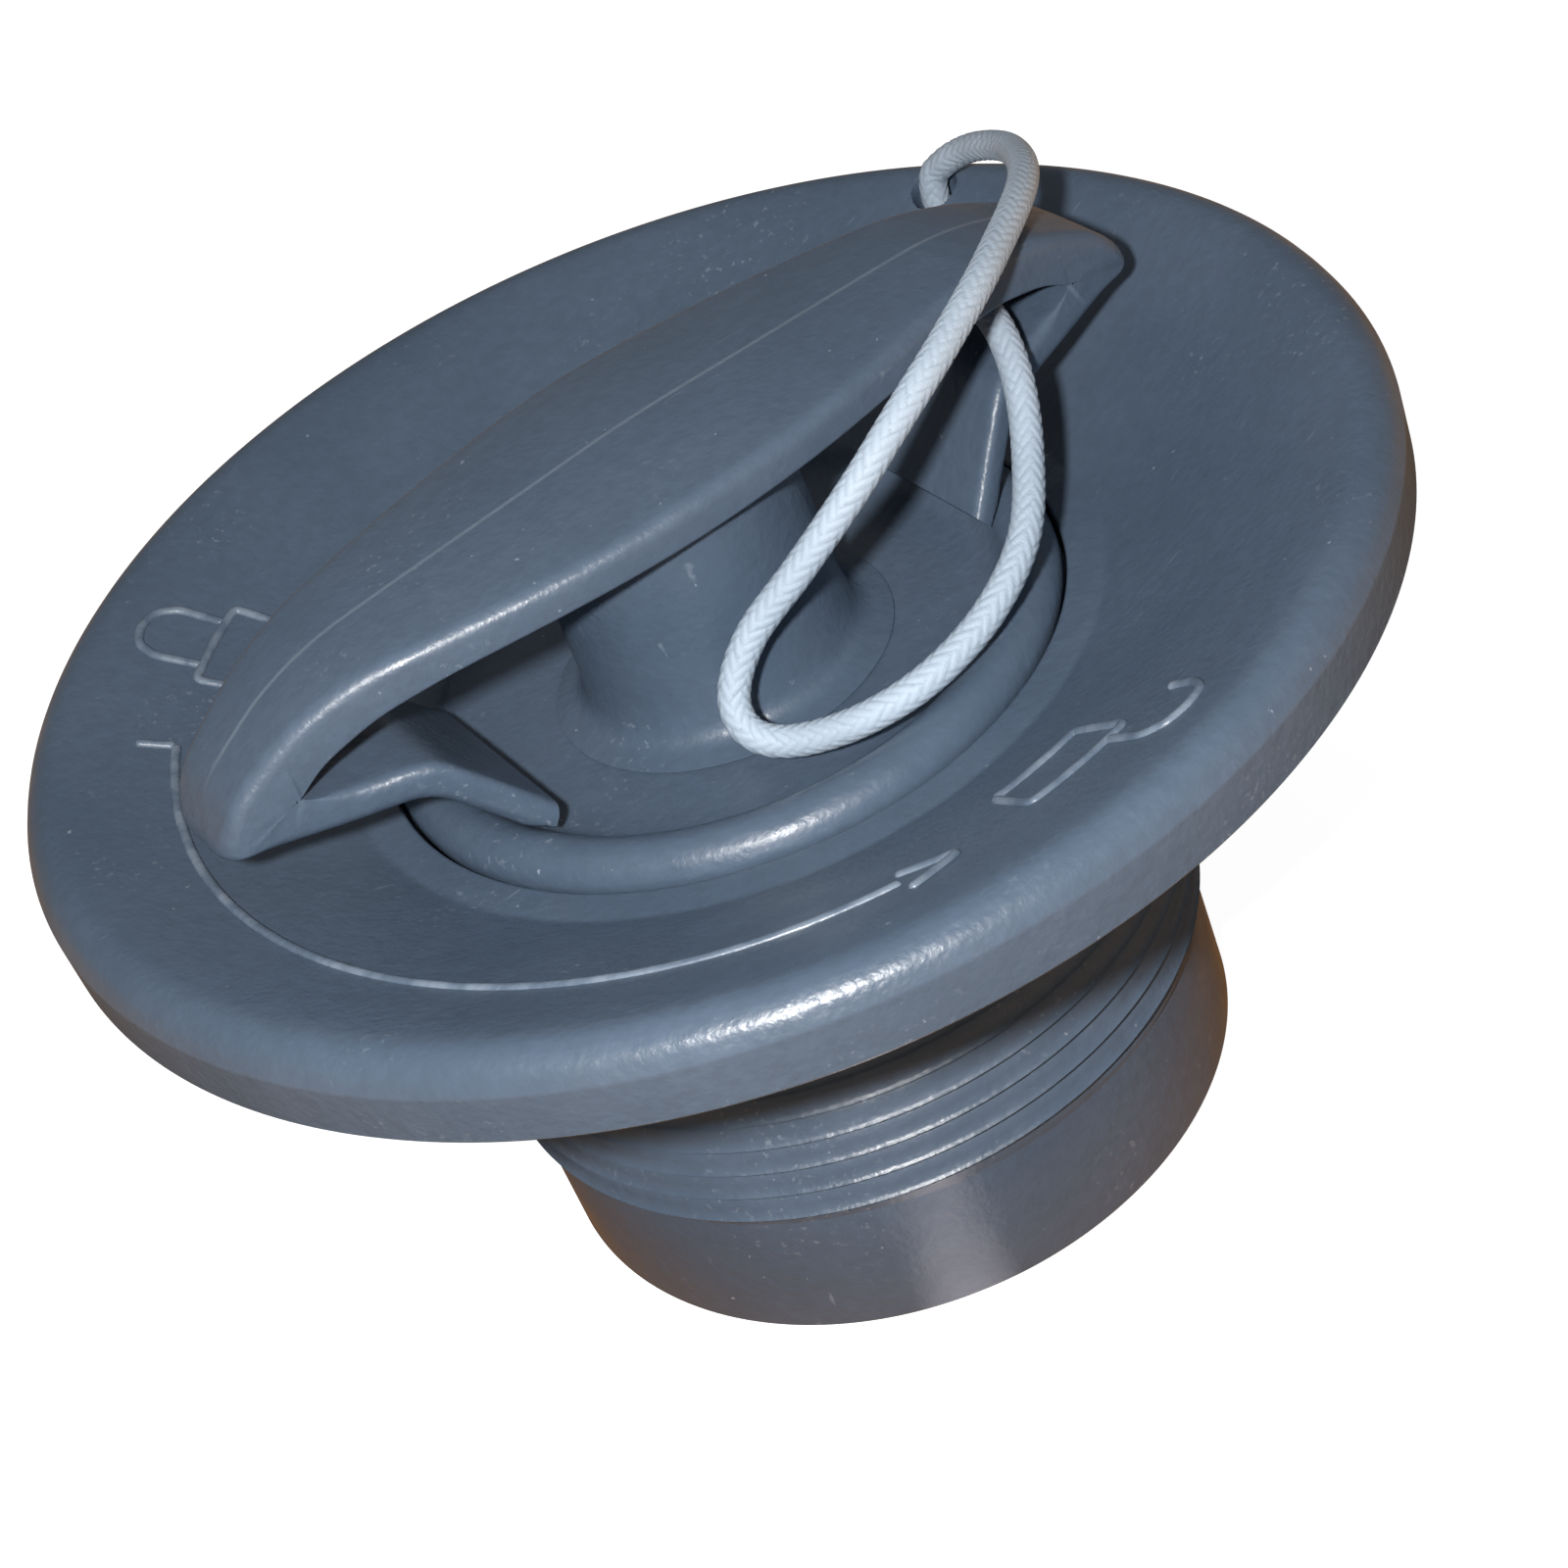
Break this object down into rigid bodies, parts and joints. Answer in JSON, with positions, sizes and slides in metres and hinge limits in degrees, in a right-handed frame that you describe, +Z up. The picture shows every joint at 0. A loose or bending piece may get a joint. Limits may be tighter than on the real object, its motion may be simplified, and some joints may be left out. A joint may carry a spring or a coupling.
{
  "type": "deck fill cap",
  "caption": "Recessed deck fill cap in slate plastic: threaded flange, lift-out lid, a wing handle that turns to lock, and a white tether cord.",
  "frame": {"origin": "on the neck's axis at the spigot's lower end, the centre of the bottom of the box without the cord", "axes": "+Z up out of the deck along the neck's axis; +X along the handle towards the cord's end; +Y completes the set"},
  "size_m": [0.096, 0.096, 0.0621],
  "materials": {
    "slate_plastic": "satin",
    "black_rubber": "matte",
    "stainless_steel": "brushed",
    "white_cord": "braided"
  },
  "bodies": {
    "flange": {"deck_flange": "slate_plastic", "deck_gasket": "black_rubber"},
    "lid": {"lid": "slate_plastic", "lid_o_ring": "black_rubber", "spindle_o_ring": "black_rubber", "tether_cord": "white_cord", "stop_knot": "white_cord"},
    "handle": {"wing_handle": "slate_plastic", "spindle": "stainless_steel", "lock_bar": "slate_plastic", "lock_washer": "stainless_steel", "lock_screw": "stainless_steel", "handle_knot": "white_cord"}
  },
  "joints": [
    {"name": "lid_lift", "type": "slide", "parent": "flange", "child": "lid", "axis": [0, 0, 1], "range_m": [0, 0.018]},
    {"name": "handle_turn", "type": "hinge", "parent": "lid", "child": "handle", "pos_m": [0, 0, 0.0408], "axis": [0, 0, 1], "range_deg": [0, 60], "deforming": ["tether_cord"]}
  ]
}
